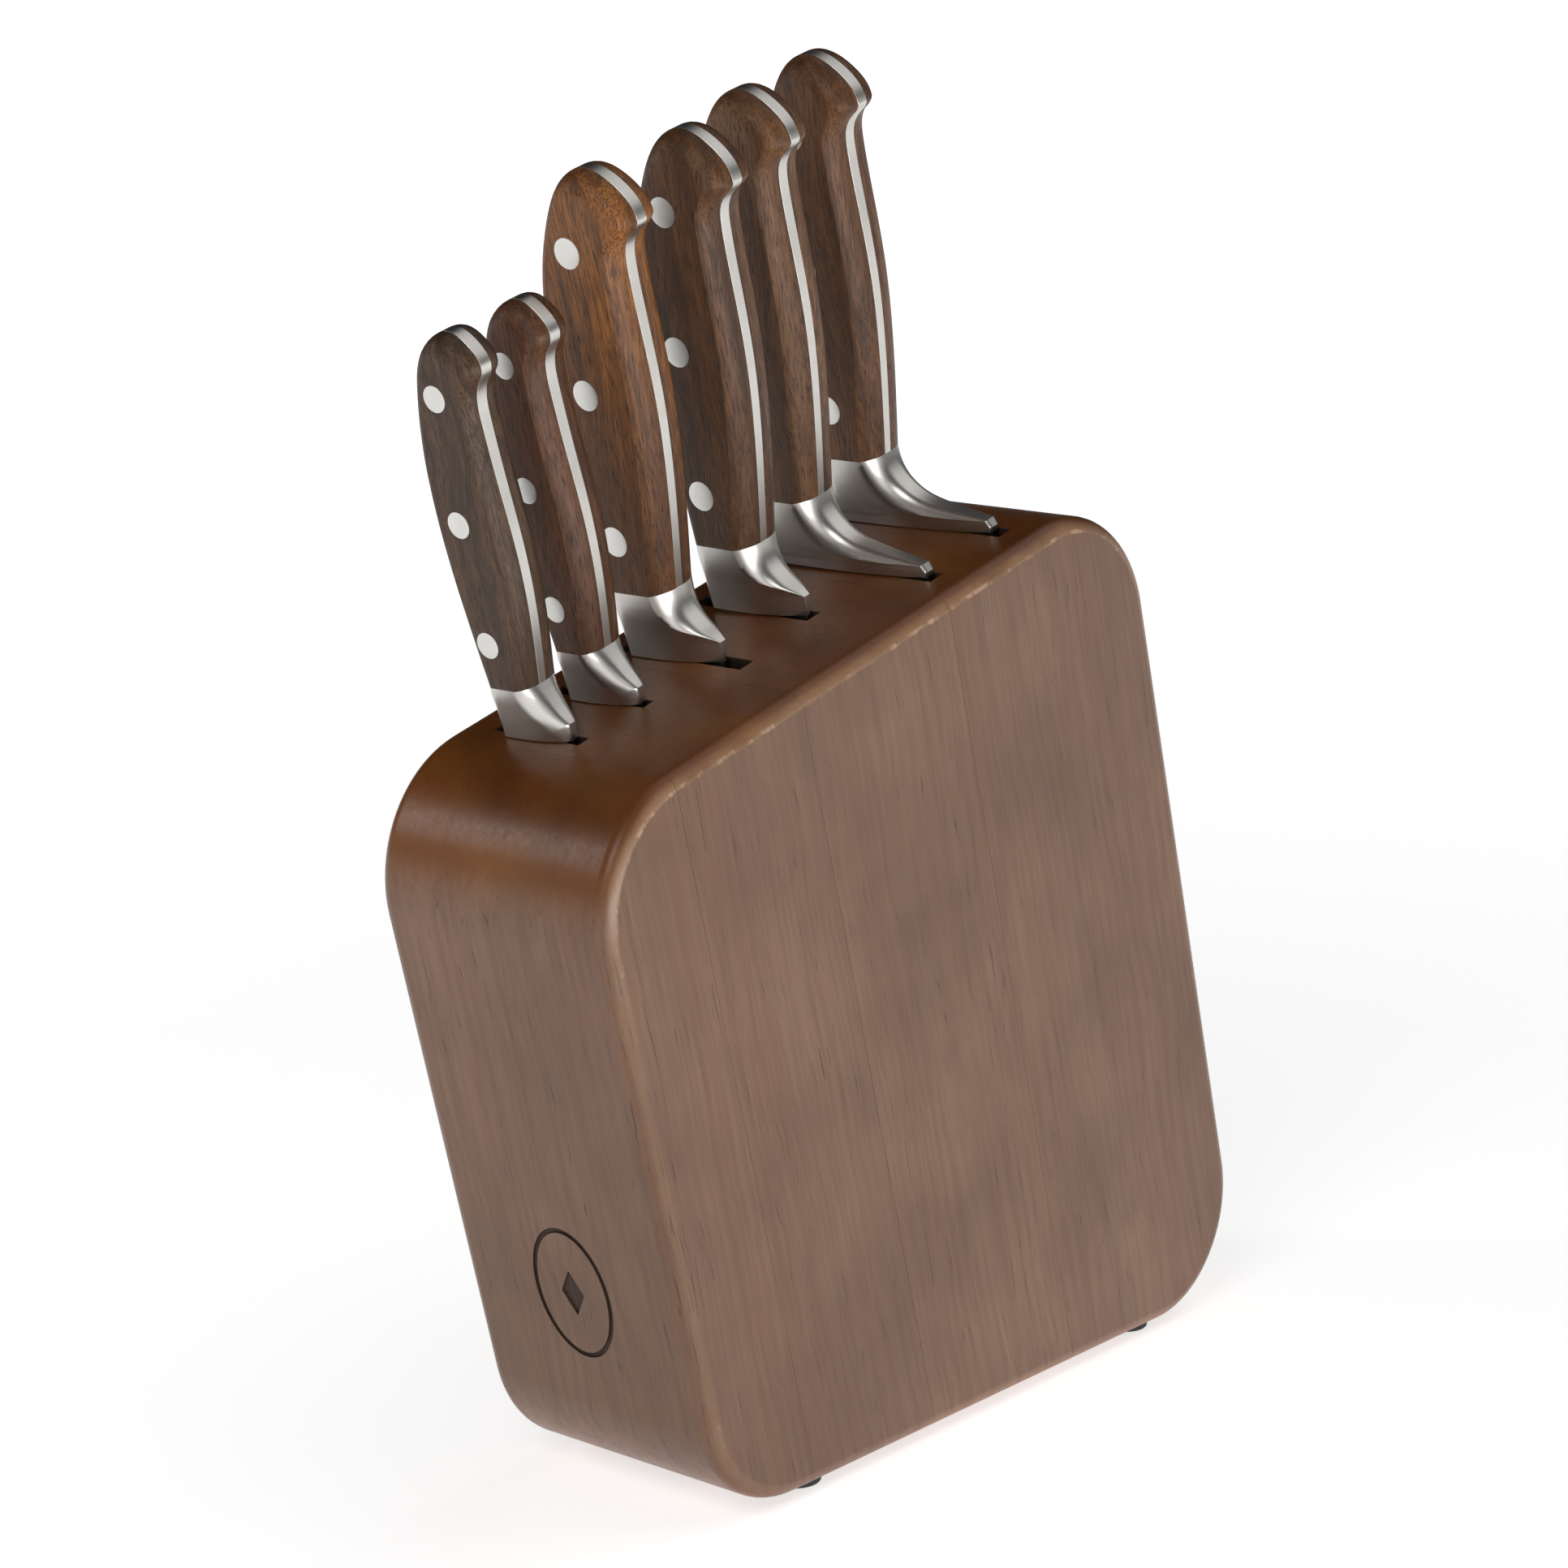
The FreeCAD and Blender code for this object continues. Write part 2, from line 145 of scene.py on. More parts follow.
def placePiece(name, mesh, place, body, material, nodes, crease=32):
    # keep the drawn position for the grain, then stand the mesh where the frame has it
    positions = np.empty(len(mesh.vertices) * 3)
    mesh.vertices.foreach_get("co", positions)
    drawn = mesh.attributes.new("grainSpace", "FLOAT_VECTOR", "POINT")
    drawn.data.foreach_set("vector", positions * mm)
    mesh.transform(place @ Matrix.Scale(mm, 4))
    mesh.polygons.foreach_set("use_smooth", [True] * len(mesh.polygons))
    mesh.set_sharp_from_angle(angle=math.radians(crease))
    if not mesh.materials:
        mesh.materials.append(material)
    piece = bpy.data.objects.new(name, mesh)
    scene.collection.objects.link(piece)
    soft = piece.modifiers.new("flatFacesFirst", "WEIGHTED_NORMAL")
    soft.keep_sharp = True
    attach(piece, body)
    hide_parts(*nodes)
    return piece


def addNode(tree, kind, sockets=None, **settings):
    node = tree.nodes.new("ShaderNode" + kind)
    for key, value in settings.items():
        setattr(node, key, value)
    for key, value in (sockets or {}).items():
        if isinstance(value, bpy.types.NodeSocket):
            tree.links.new(value, node.inputs[key])
        else:
            node.inputs[key].default_value = value
    return node


def math2(tree, operation, a, b=0.0, clamp=False):
    return addNode(tree, "Math", {0: a, 1: b}, operation=operation, use_clamp=clamp).outputs[0]


def remap(tree, value, low, high, toLow=0.0, toHigh=1.0):
    return addNode(tree, "MapRange", {"Value": value, "From Min": low, "From Max": high,
                                      "To Min": toLow, "To Max": toHigh}).outputs["Result"]


def mixColor(tree, factor, a, b, blend="MIX"):
    node = addNode(tree, "Mix", data_type="RGBA", blend_type=blend)
    for index, value in ((0, factor), (6, a), (7, b)):
        if isinstance(value, bpy.types.NodeSocket):
            tree.links.new(value, node.inputs[index])
        else:
            node.inputs[index].default_value = value
    return node.outputs[2]


def noise(tree, vector, scale, detail=2.0, roughness=0.5, distortion=0.0):
    return addNode(tree, "TexNoise", {"Vector": vector, "Scale": scale, "Detail": detail,
                                      "Roughness": roughness, "Distortion": distortion}).outputs["Fac"]


def newGroup(name, inputs, outputs):
    group = bpy.data.node_groups.new(name, "ShaderNodeTree")
    for label, kind, value in inputs:
        socket = group.interface.new_socket(label, in_out="INPUT", socket_type="NodeSocket" + kind)
        socket.default_value = value
    for label in outputs:
        group.interface.new_socket(label, in_out="OUTPUT", socket_type="NodeSocketFloat")
    return group, group.nodes.new("NodeGroupInput").outputs, group.nodes.new("NodeGroupOutput").inputs


def useGroup(tree, group, sockets):
    node = tree.nodes.new("ShaderNodeGroup")
    node.node_tree = group
    for key, value in sockets.items():
        if isinstance(value, bpy.types.NodeSocket):
            tree.links.new(value, node.inputs[key])
        else:
            node.inputs[key].default_value = value
    return node.outputs


def rgb(hexText):
    # a swatch as it looks on screen, to the linear values a shader wants
    parts = [int(hexText[i:i + 2], 16) / 255 for i in (0, 2, 4)]
    return tuple([c / 12.92 if c < 0.04045 else ((c + 0.055) / 1.055) ** 2.4 for c in parts] + [1.0])


def newMaterial(name):
    material = bpy.data.materials.new(name)
    material.use_nodes = True
    tree = material.node_tree
    return material, tree, tree.nodes["Principled BSDF"]


def makeGrainGroup():
    # wood with its grain along z: broad figure, fibre streaks, growth rings and open pores
    group, put, out = newGroup("woodGrain", [
        ("Vector", "Vector", (0, 0, 0)), ("Shift", "Vector", (0, 0, 0)), ("Stretch", "Float", 20.0),
        ("Figure Scale", "Float", 60.0), ("Wander", "Float", 0.004), ("Ring Scale", "Float", 30.0),
        ("Pore Scale", "Float", 2200.0), ("Pore Cover", "Float", 0.5)],
        ["Figure", "Fibre", "Rings", "Pores"])
    moved = addNode(group, "VectorMath", {0: put["Vector"], 1: put["Shift"]}, operation="ADD").outputs[0]
    drift = addNode(group, "TexNoise", {"Vector": moved, "Scale": 16.0, "Detail": 2.0}).outputs["Color"]
    drift = addNode(group, "VectorMath", {0: drift, 1: (0.5, 0.5, 0.5)}, operation="SUBTRACT").outputs[0]
    drift = addNode(group, "VectorMath", {0: drift, "Scale": put["Wander"]}, operation="SCALE").outputs[0]
    bent = addNode(group, "VectorMath", {0: moved, 1: drift}, operation="ADD").outputs[0]
    shorter = math2(group, "DIVIDE", 1.0, put["Stretch"])
    squeeze = addNode(group, "CombineXYZ", {"X": 1.0, "Y": 1.0, "Z": shorter})
    long = addNode(group, "VectorMath", {0: bent, 1: squeeze.outputs[0]}, operation="MULTIPLY").outputs[0]
    group.links.new(noise(group, long, put["Figure Scale"], 4.0, 0.55, 0.6), out["Figure"])
    fibreScale = math2(group, "MULTIPLY", put["Figure Scale"], 9.0)
    group.links.new(noise(group, long, fibreScale, 3.0, 0.65), out["Fibre"])
    half = addNode(group, "VectorMath", {0: bent, 1: (1.0, 1.0, 0.16)}, operation="MULTIPLY").outputs[0]
    wave = addNode(group, "TexWave", {"Vector": half, "Scale": put["Ring Scale"], "Distortion": 3.0,
                                      "Detail": 3.0, "Detail Scale": 1.2}, wave_type="RINGS",
                   rings_direction="Z", wave_profile="SAW")
    group.links.new(wave.outputs["Fac"], out["Rings"])
    dash = noise(group, long, put["Pore Scale"], 1.0, 0.5)
    patch = noise(group, long, 140.0, 2.0, 0.5)
    limit = math2(group, "SUBTRACT", 0.78, math2(group, "MULTIPLY", put["Pore Cover"],
                                                 math2(group, "MULTIPLY", patch, 0.45)))
    group.links.new(remap(group, math2(group, "SUBTRACT", dash, limit), 0.0, 0.06), out["Pores"])
    return group


def makeWearGroup():
    # where a round-over is rubbed pale, and where its sharp inner line is chipped
    group, put, out = newGroup("roundedEdgeWear", [
        ("Vector", "Vector", (0, 0, 0)), ("Normal", "Vector", (0, 0, 1)), ("Near Top", "Float", 1.0),
        ("Chip Scale", "Float", 900.0), ("Chip Cover", "Float", 0.4)], ["Rubbed", "Chipped"])
    split = addNode(group, "SeparateXYZ", {0: put["Normal"]})
    side = math2(group, "ABSOLUTE", split.outputs["X"])
    rise = remap(group, side, 0.62, 0.88)
    fall = remap(group, side, 1.0, 0.985)
    patchy = remap(group, noise(group, put["Vector"], 55.0, 5.0, 0.7), 0.3, 0.62, 0.35, 1.0)
    rubbed = math2(group, "MULTIPLY", math2(group, "MULTIPLY", rise, fall), patchy)
    # the pale band and the chips grow with the weight given for nearness to the top of the block
    nearTop = remap(group, put["Near Top"], 0.0, 1.0, 0.3, 1.0)
    group.links.new(math2(group, "MULTIPLY", rubbed, nearTop), out["Rubbed"])
    line = math2(group, "MULTIPLY", remap(group, side, 0.93, 0.975), remap(group, side, 1.0, 0.995))
    rough = noise(group, put["Vector"], put["Chip Scale"], 4.0, 0.7)
    cover = math2(group, "MULTIPLY", put["Chip Cover"], 0.25)
    chips = remap(group, math2(group, "ADD", rough, cover), 0.6, 0.68)
    spots = remap(group, noise(group, put["Vector"], 34.0, 3.0, 0.6), 0.6, 0.68)
    spots = math2(group, "MAXIMUM", math2(group, "MULTIPLY", put["Near Top"], 0.8), spots)
    group.links.new(math2(group, "MULTIPLY", math2(group, "MULTIPLY", line, chips), spots), out["Chipped"])
    return group


def makeBrushGroup():
    # satin finish left by fine belts: short scratches across the length and a cloudy tone
    group, put, out = newGroup("satinBrush", [
        ("Vector", "Vector", (0, 0, 0)), ("Direction", "Vector", (1, 1, 0.1)),
        ("Scratch Scale", "Float", 2600.0)], ["Scratches", "Cloud"])
    drawn = addNode(group, "VectorMath", {0: put["Vector"], 1: put["Direction"]},
                    operation="MULTIPLY").outputs[0]
    group.links.new(noise(group, drawn, put["Scratch Scale"], 3.0, 0.7), out["Scratches"])
    group.links.new(noise(group, put["Vector"], 120.0, 3.0, 0.6), out["Cloud"])
    return group


grainGroup = makeGrainGroup()
wearGroup = makeWearGroup()
brushGroup = makeBrushGroup()


def makeBlockWood(name, look):
    material, tree, shader = newMaterial(name)
    space = addNode(tree, "Attribute", attribute_name="grainSpace").outputs["Vector"]
    normal = addNode(tree, "TexCoord").outputs["Normal"]
    grain = useGroup(tree, grainGroup, {"Vector": space, "Shift": look["shift"], "Stretch": 26.0,
                                        "Figure Scale": 55.0, "Wander": 0.006, "Ring Scale": 9.0,
                                        "Pore Scale": 1500.0, "Pore Cover": look["pores"]})
    depth = addNode(tree, "SeparateXYZ", {0: space}).outputs["Z"]
    # paler rim and more chips within the top few centimetres of the block
    wear = useGroup(tree, wearGroup, {"Vector": space, "Normal": normal, "Chip Scale": 170.0,
                                      "Chip Cover": 0.3, "Near Top": remap(tree, depth, -0.06, -0.02)})
    broad = noise(tree, space, 17.0, 3.0, 0.55)
    long = mixColor(tree, remap(tree, broad, 0.3, 0.7), look["dark"], look["light"])
    long = mixColor(tree, remap(tree, grain["Figure"], 0.35, 0.7, 0.0, 0.55), long, look["red"])
    long = mixColor(tree, remap(tree, grain["Fibre"], 0.38, 0.7, 0.0, 0.42), long, look["deep"])
    long = mixColor(tree, math2(tree, "MULTIPLY", grain["Pores"], 0.6), long, look["pore"])
    # end grain soaks up more stain, so the top and the underside are warmer
    up = addNode(tree, "VectorMath", {0: normal, 1: tuple(drawAxis)},
                 operation="DOT_PRODUCT").outputs["Value"]
    ends = remap(tree, math2(tree, "ABSOLUTE", up), 0.18, 0.6)
    speck = noise(tree, space, 900.0, 3.0, 0.7)
    endTone = mixColor(tree, remap(tree, broad, 0.35, 0.65), look["endDark"], look["endLight"])
    endTone = mixColor(tree, remap(tree, grain["Figure"], 0.4, 0.65, 0.0, 0.5), endTone, look["endRed"])
    endTone = mixColor(tree, remap(tree, speck, 0.55, 0.75, 0.0, 0.35), endTone, look["pore"])
    tone = mixColor(tree, ends, long, endTone)
    tone = mixColor(tree, math2(tree, "MULTIPLY", wear["Rubbed"], 0.45), tone, look["rubbed"])
    tone = mixColor(tree, math2(tree, "MULTIPLY", wear["Chipped"], 0.6), tone, look["chip"])
    tree.links.new(tone, shader.inputs["Base Color"])
    sheen = math2(tree, "ADD", remap(tree, grain["Fibre"], 0.3, 0.7, 0.32, 0.42),
                  math2(tree, "MULTIPLY", wear["Chipped"], 0.3))
    tree.links.new(sheen, shader.inputs["Roughness"])
    relief = math2(tree, "SUBTRACT", math2(tree, "MULTIPLY", grain["Fibre"], 0.5), grain["Pores"])
    relief = math2(tree, "SUBTRACT", relief, math2(tree, "MULTIPLY", wear["Chipped"], 3.0))
    bump = addNode(tree, "Bump", {"Strength": 0.35, "Distance": 0.00012, "Height": relief})
    tree.links.new(bump.outputs[0], shader.inputs["Normal"])
    shader.inputs["Specular IOR Level"].default_value = 0.35
    shader.inputs["Coat Weight"].default_value = 0.1
    shader.inputs["Coat Roughness"].default_value = 0.22
    return material


def makeShadedCutWood(look):
    # sawn and engraved walls: raw and dull wood, painted very dark as painted shade inside the slots and
    # the engraving
    material, tree, shader = newMaterial("shadedCutWood")
    space = addNode(tree, "Attribute", attribute_name="grainSpace").outputs["Vector"]
    grain = useGroup(tree, grainGroup, {"Vector": space, "Stretch": 20.0, "Figure Scale": 90.0,
                                        "Pore Cover": 0.6})
    tone = mixColor(tree, remap(tree, grain["Figure"], 0.3, 0.7), look["cutShadeDark"], look["cutShadeLight"])
    tone = mixColor(tree, math2(tree, "MULTIPLY", grain["Pores"], 0.6), tone, look["pore"])
    tree.links.new(tone, shader.inputs["Base Color"])
    tree.links.new(remap(tree, grain["Fibre"], 0.3, 0.7, 0.65, 0.85), shader.inputs["Roughness"])
    bump = addNode(tree, "Bump", {"Strength": 0.5, "Distance": 0.0002, "Height": grain["Fibre"]})
    tree.links.new(bump.outputs[0], shader.inputs["Normal"])
    return material


def makeHandleWood(name, look):
    material, tree, shader = newMaterial(name)
    space = addNode(tree, "Attribute", attribute_name="grainSpace").outputs["Vector"]
    grain = useGroup(tree, grainGroup, {"Vector": space, "Shift": look["shift"], "Stretch": 14.0,
                                        "Figure Scale": 210.0, "Wander": look["wander"],
                                        "Ring Scale": look["rings"], "Pore Scale": 2600.0,
                                        "Pore Cover": 0.75})
    tone = mixColor(tree, remap(tree, grain["Figure"], 0.3, 0.7), look["dark"], look["light"])
    rings = remap(tree, grain["Rings"], 0.55, 0.95, 0.0, look["ringTone"])
    tone = mixColor(tree, rings, tone, look["deep"])
    tone = mixColor(tree, remap(tree, grain["Fibre"], 0.42, 0.66, 0.0, 0.7), tone, look["deep"])
    # darker towards the bolster, by each knife's given amount
    low = remap(tree, addNode(tree, "SeparateXYZ", {0: space}).outputs["Z"], 0.1, 0.035, 0.0, look["darkerTowardBolster"])
    tone = mixColor(tree, low, tone, look["deep"])
    tone = mixColor(tree, math2(tree, "MULTIPLY", grain["Pores"], 0.75), tone, look["pore"])
    tree.links.new(tone, shader.inputs["Base Color"])
    tree.links.new(remap(tree, grain["Fibre"], 0.3, 0.7, 0.4, 0.54), shader.inputs["Roughness"])
    shader.inputs["Specular IOR Level"].default_value = 0.28
    relief = math2(tree, "SUBTRACT", math2(tree, "MULTIPLY", grain["Fibre"], 0.5), grain["Pores"])
    bump = addNode(tree, "Bump", {"Strength": 0.5, "Distance": 0.00012, "Height": relief})
    tree.links.new(bump.outputs[0], shader.inputs["Normal"])
    return material


def makeSteel(name, look):
    material, tree, shader = newMaterial(name)
    space = addNode(tree, "Attribute", attribute_name="grainSpace").outputs["Vector"]
    brush = useGroup(tree, brushGroup, {"Vector": space, "Direction": look["direction"],
                                        "Scratch Scale": look["scratchScale"]})
    tone = mixColor(tree, remap(tree, brush["Cloud"], 0.35, 0.65, 0.0, 0.4), look["light"], look["dark"])
    tree.links.new(tone, shader.inputs["Base Color"])
    satin = remap(tree, brush["Scratches"], 0.3, 0.7, *look["roughness"])
    tree.links.new(satin, shader.inputs["Roughness"])
    bump = addNode(tree, "Bump", {"Strength": 0.05, "Distance": 0.00001, "Height": brush["Scratches"]})
    tree.links.new(bump.outputs[0], shader.inputs["Normal"])
    shader.inputs["Metallic"].default_value = 1.0
    return material


def makeRubber():
    material, tree, shader = newMaterial("footRubber")
    space = addNode(tree, "Attribute", attribute_name="grainSpace").outputs["Vector"]
    speck = noise(tree, space, 1800.0, 3.0, 0.6)
    tree.links.new(mixColor(tree, remap(tree, speck, 0.4, 0.7), rgb("1c1b1a"), rgb("2b2a29")),
                   shader.inputs["Base Color"])
    tree.links.new(remap(tree, speck, 0.3, 0.7, 0.6, 0.8), shader.inputs["Roughness"])
    bump = addNode(tree, "Bump", {"Strength": 0.3, "Distance": 0.00005, "Height": speck})
    tree.links.new(bump.outputs[0], shader.inputs["Normal"])
    return material


block = {
    "halfWidth": 40, "depth": 237.5, "frontLength": 204.7, "backLength": 269.85, "edgeRound": 4.8,
    "radii": (36, 38, 34, 37.5),       # top front, top back, bottom back, bottom front
    "jointGap": 0.1, "mouthFlare": 0.25,
    "slots": [                         # centre, width, left end, right end, depth
        (43.7, 4.0, -27.8, 1.6, 98), (67.7, 4.0, -28.4, 3.2, 138), (96.2, 5.5, -29.4, 13.4, 210),
        (128.2, 5.5, -29.4, 10.8, 213), (160.3, 5.5, -29.4, 28.6, 190), (192.4, 5.5, -29.4, 28.6, 213)],
    "modules": [                       # name, front joint, back joint, planks inside it
        ("frontModule", -60, 35, ["front_plank"]),
        ("smallSlotModule", 35, 86, ["inner_plank_1", "inner_plank_2", "inner_plank_3",
                                     "slot_1_spacers", "slot_2_spacers"]),
        ("largeSlotModule", 86, 150, ["inner_plank_4", "inner_plank_5", "inner_plank_6",
                                      "slot_3_spacers", "slot_4_spacers"]),
        ("backModule", 150, 300, ["inner_plank_7", "inner_plank_8", "back_plank",
                                  "slot_5_spacers", "slot_6_spacers"])],
}


def blockOutline(inset):
    # the side view with its corner radii, moved in by inset
    corners = [(0, 0), (block["depth"], 0), (block["depth"], -block["backLength"]),
               (0, -block["frontLength"])]
    points = []
    for index, radius in enumerate(block["radii"]):
        corner = Vector(corners[index])
        before = (Vector(corners[index - 1]) - corner).normalized()
        after = (Vector(corners[(index + 1) % 4]) - corner).normalized()
        half = before.angle(after) / 2
        middle = corner + (before + after).normalized() * radius / math.sin(half)
        start = math.atan2(*reversed(corner + before * radius / math.tan(half) - middle))
        sweep = -(math.pi - 2 * half)
        steps = 22
        for k in range(steps + 1):
            angle = start + sweep * k / steps
            points.append(middle + Vector((math.cos(angle), math.sin(angle))) * (radius - inset))
    return points


def makeBlockBody():
    rounding, steps = block["edgeRound"], 7
    verts, count = [], 0
    rings = []
    for k in range(steps + 1):
        angle = math.pi / 2 * k / steps
        across = block["halfWidth"] - rounding + rounding * math.sin(angle)
        rings.append((across, rounding * (1 - math.cos(angle))))
    for x, inset in [(-x, inset) for x, inset in reversed(rings)] + rings:
        outline = blockOutline(inset)
        count = len(outline)
        verts += [(x, p.x, p.y) for p in outline]
    total = 2 * len(rings)
    faces = gridFaces(total, count, closed=True)
    faces.append(tuple(range(count)))
    faces.append(tuple(range((total - 1) * count, total * count)))
    return meshFrom("blockBody", verts, faces)


def cutModule(body, name, front, back):
    bm = bmesh.new()
    bm.from_mesh(body)
    gap = block["jointGap"] / 2
    for limit, direction in ((front + gap, -1), (back - gap, 1)):
        whole = list(bm.verts) + list(bm.edges) + list(bm.faces)
        cut = bmesh.ops.bisect_plane(bm, geom=whole, plane_co=(0, limit, 0), plane_no=(0, direction, 0),
                                     clear_outer=True, dist=0.0001)
        edges = [e for e in cut["geom_cut"] if isinstance(e, bmesh.types.BMEdge)]
        if edges:
            bmesh.ops.edgeloop_fill(bm, edges=edges)
    bmesh.ops.recalc_face_normals(bm, faces=bm.faces)
    module = bpy.data.meshes.new(name)
    bm.to_mesh(module)
    bm.free()
    return module


def slotCutter(centre, width, left, right, depth):
    # a saw cut with a slightly broken mouth
    flare = block["mouthFlare"]
    levels = [(-depth, 0), (-flare, 0), (flare, 2 * flare)]
    verts = []
    for z, grow in levels:
        low, high = centre - width / 2 - grow, centre + width / 2 + grow
        verts += [(left - grow, low, z), (right + grow, low, z), (right + grow, high, z),
                  (left - grow, high, z)]
    faces = gridFaces(3, 4, closed=True) + [(3, 2, 1, 0), (8, 9, 10, 11)]
    return meshFrom("slotCutter", verts, faces)


emblem = {"height": 63, "width": 27, "tall": 40, "band": 1.5, "diamond": (8, 14), "depth": 0.7}


def emblemCutters():
    # a plain oval ring round a plain diamond, let into the front face
    centre = emblem["height"] - block["frontLength"]
    steps = 64
    reach = 1.0
    verts = []
    band, cut = emblem["band"], emblem["depth"]
    for grow, y in ((0, -reach), (0, cut), (-band, cut), (-band, -reach)):
        for k in range(steps):
            angle = 2 * math.pi * k / steps
            verts.append(((emblem["width"] / 2 + grow) * math.cos(angle), y,
                          centre + (emblem["tall"] / 2 + grow) * math.sin(angle)))
    faces = gridFaces(4, steps, closed=True)
    faces += [(k, (k + 1) % steps, 3 * steps + (k + 1) % steps, 3 * steps + k) for k in range(steps)]
    ring = meshFrom("ringCutter", verts, faces)
    across, tall = emblem["diamond"]
    verts = []
    for y in (-reach, emblem["depth"]):
        verts += [(across / 2, y, centre), (0, y, centre + tall / 2),
                  (-across / 2, y, centre), (0, y, centre - tall / 2)]
    diamond = meshFrom("diamondCutter", verts, gridFaces(2, 4, closed=True) + [(0, 1, 2, 3), (7, 6, 5, 4)])
    return [ring, diamond]


blockTones = {
    "dark": rgb("5f4431"), "light": rgb("7b5c46"), "red": rgb("6e4a34"), "deep": rgb("493224"),
    "pore": rgb("2c1e16"),
    "endDark": rgb("522c10"), "endLight": rgb("7e4c1c"), "endRed": rgb("6a3614"), "rubbed": rgb("a58467"),
    # the cut tones are raw wood darkened into painted shade for the slot and engraving walls
    "chip": rgb("b8977a"), "cutShadeDark": rgb("23160e"), "cutShadeLight": rgb("3a2517"), "pores": 0.42,
}


def shade(color, factor):
    return tuple([c * factor for c in color[:3]] + [1.0])


def makeBlock():
    body = makeBlockBody()
    shadedCutWood = makeShadedCutWood(blockTones)
    cutters = [slotCutter(*slot) for slot in block["slots"]]
    lightness = (1.0, 0.96, 1.03, 0.98)
    for index, (name, front, back, nodes) in enumerate(block["modules"]):
        look = {key: shade(value, lightness[index]) if isinstance(value, tuple) else value
                for key, value in blockTones.items()}
        look["shift"] = (0.31 * index, 0.17 * index, 0.73 * index)
        tools = [cutters[k] for k, slot in enumerate(block["slots"]) if front < slot[0] < back]
        if index == 0:
            tools += emblemCutters()
        mesh = carve(cutModule(body, name, front, back), tools, makeBlockWood(name + "Wood", look), shadedCutWood)
        placePiece(name, mesh, topFrame, "block", None, nodes)
    print("block: four glued modules, six slots, engraved emblem")


makeBlock()


handles = {
    "small": {
        "spine": [(-22.7, 15.5), (-28.3, 62), (-25.6, 96.5), (-20.5, 107.8), (-14, 111), (-7.6, 107.6),
                  (-4.3, 102.4), (-3.9, 100.4)],
        "belly": [(-3.9, 100.4), (-5.8, 98.6), (-7.8, 95.2), (-8.5, 87), (-7.6, 72), (-6.2, 54), (-6.2, 38),
                  (-8.4, 15.5)],
        "rivets": [(-17.6, 27.7), (-18.6, 60.8), (-17.4, 94.8)], "rivetRadius": 3.65,
        "half": 7.6, "spineRound": 3.4, "bellyRound": 3.2, "fluteRound": 2.6, "buttRound": 4.2,
        "beakRound": 5,
    },
    "large": {
        "spine": [(-24.8, 20.5), (-28.4, 68), (-27.3, 104), (-21.8, 122), (-9.7, 136), (1.6, 131.4),
                  (6.8, 123.8), (7.1, 121.2)],
        "belly": [(7.1, 121.2), (4.4, 119.4), (1.5, 116), (0.4, 109.5), (0.7, 95), (1.1, 74), (-1, 48),
                  (-5, 20.5)],
        "rivets": [(-16.7, 35.4), (-16.5, 76.4), (-13, 115.2)], "rivetRadius": 4.25,
        "half": 8.8, "spineRound": 4.2, "bellyRound": 3.7, "fluteRound": 2.8, "buttRound": 5,
        "beakRound": 6,
    },
}
# the tang is thicker towards the butt; crease angles say how far round a full quarter circle
# the wood's round-over goes before it meets the flat face
tang = {"neckHalf": 1.35, "buttHalf": 1.95, "edge": 0.12, "seatGap": 0.3, "beakRound": 1.5,
        "bellyCrease": 66, "spineCrease": 88}

